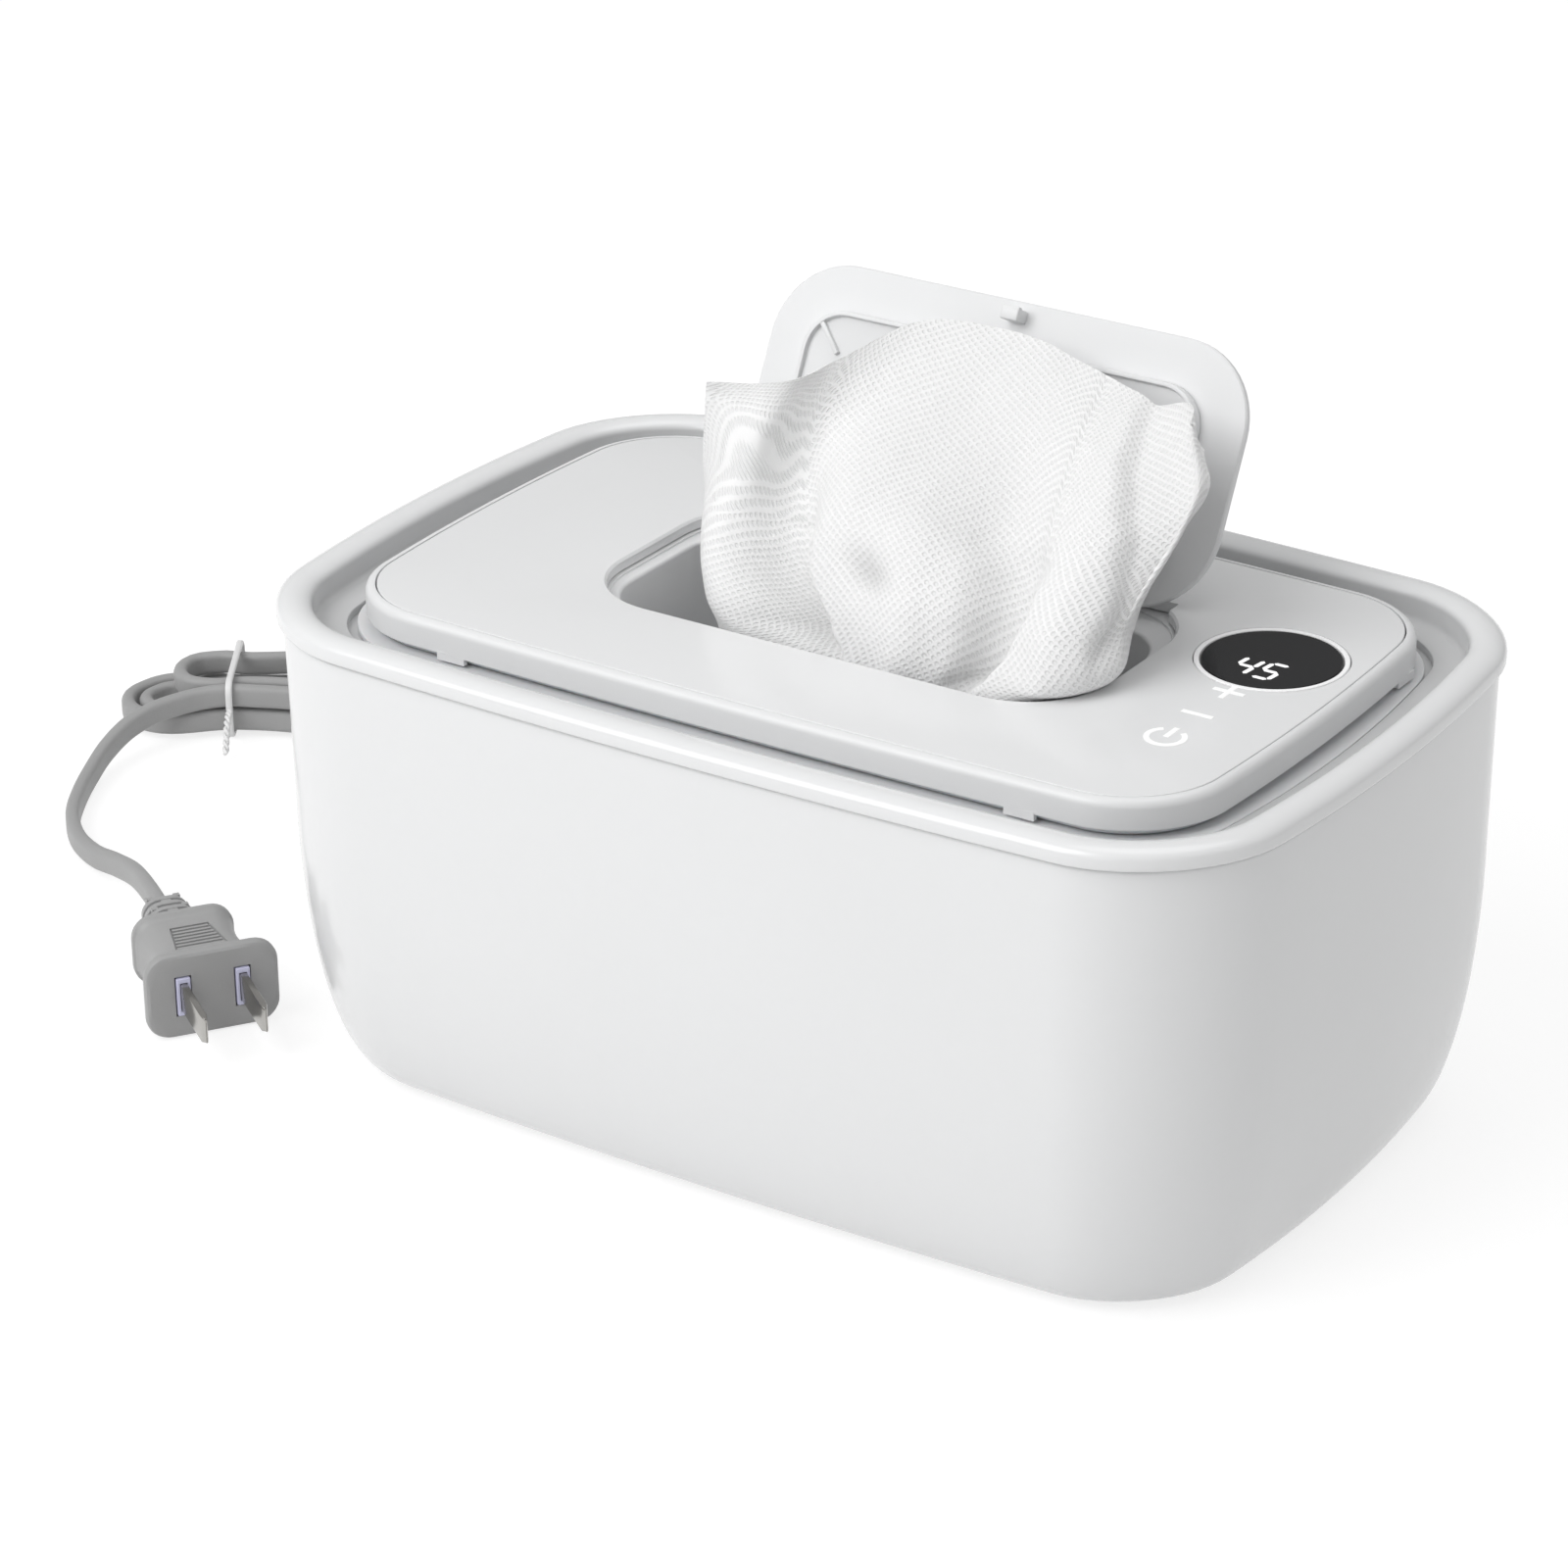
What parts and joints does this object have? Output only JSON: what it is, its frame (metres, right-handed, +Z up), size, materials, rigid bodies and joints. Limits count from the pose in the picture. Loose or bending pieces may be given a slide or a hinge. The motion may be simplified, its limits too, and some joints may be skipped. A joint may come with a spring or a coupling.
{
  "type": "baby wipe warmer",
  "caption": "White tub that warms baby wipes, with a hinged lid, a flip lid over the dispensing opening, a wipe pulled half out, a heater, a display and a bundled mains cord.",
  "frame": {"origin": "on the floor under the middle of the tub, at the level of the rubber feet's undersides", "axes": "+X along the tub's length towards the display end, +Y towards the hinges and the cord outlet at the back, +Z up"},
  "size_m": [0.3617, 0.2019, 0.1521],
  "materials": {
    "white_gloss": "smooth glossy white ABS",
    "white_satin": "satin white ABS",
    "inner_plastic": "matt white polypropylene",
    "grey_plastic": "fine-textured light grey ABS",
    "black_window": "glossy black display window with white digits",
    "circuit_board": "green solder mask",
    "dark_part": "moulded black components",
    "heater_film": "amber polyimide heating film",
    "aluminium": "brushed sheet",
    "steel": "zinc-plated steel",
    "nickel": "nickel-plated brass blades",
    "rubber": "dark grey rubber",
    "silicone": "translucent white silicone",
    "foam": "cream foam",
    "cord_grey": "soft matt grey vinyl",
    "pale_collar": "pale lavender insulating collars",
    "tie_white": "white plastic-coated wire",
    "wipe_cloth": "moist white embossed nonwoven"
  },
  "bodies": {
    "base": {"outer_shell": "white_gloss", "top_bezel": "white_gloss", "inner_tank": "inner_plastic", "base_plate": "grey_plastic", "power_board": "circuit_board", "transformer": "dark_part", "power_relay": "dark_part", "capacitor": "dark_part", "temperature_sensor": "dark_part", "heater_film": "heater_film", "heater_plate": "aluminium", "base_screw_1": "steel", "base_screw_2": "steel", "base_screw_3": "steel", "base_screw_4": "steel", "power_board_screw_1": "steel", "power_board_screw_2": "steel", "lid_hinge_pin_left": "steel", "lid_hinge_pin_right": "steel", "plug_blade_left": "nickel", "plug_blade_right": "nickel", "rubber_foot_1": "rubber", "rubber_foot_2": "rubber", "rubber_foot_3": "rubber", "rubber_foot_4": "rubber", "thermal_fuse": "silicone", "insulation_pad": "foam", "mains_leads": "cord_grey", "hinge_cable": "cord_grey", "cord_relief": "cord_grey", "cord_tail": "cord_grey", "cord_hank": "cord_grey", "cord_lead": "cord_grey", "plug_relief": "cord_grey", "plug_body": "cord_grey", "blade_collar_left": "pale_collar", "blade_collar_right": "pale_collar", "twist_tie": "tie_white", "wipe_stack": "wipe_cloth"},
    "lid": {"lid_frame": "white_satin", "lid_top_plate": "white_gloss", "dispensing_insert": "white_satin", "lid_gasket": "silicone", "display_ring": "white_gloss", "display_window": "black_window", "digit_display": "dark_part", "control_board": "circuit_board", "control_board_screw_1": "steel", "control_board_screw_2": "steel", "touch_pad_plus": "foam", "touch_pad_minus": "foam", "touch_pad_power": "foam", "lid_cable": "cord_grey", "wipe_sheet": "wipe_cloth", "flip_hinge_pin_left": "steel", "flip_hinge_pin_right": "steel"},
    "flip_lid": {"flip_lid": "white_gloss", "flip_lid_liner": "white_satin"}
  },
  "joints": [
    {"name": "lid_hinge", "type": "hinge", "parent": "base", "child": "lid", "pos_m": [0, 0.0592, 0.101], "axis": [-1, 0, 0], "range_deg": [0, 100]},
    {"name": "flip_lid_hinge", "type": "hinge", "parent": "lid", "child": "flip_lid", "pos_m": [0, 0.027, 0.1031], "axis": [1, 0, 0], "range_deg": [0, 117], "deforming": ["wipe_sheet"]}
  ]
}
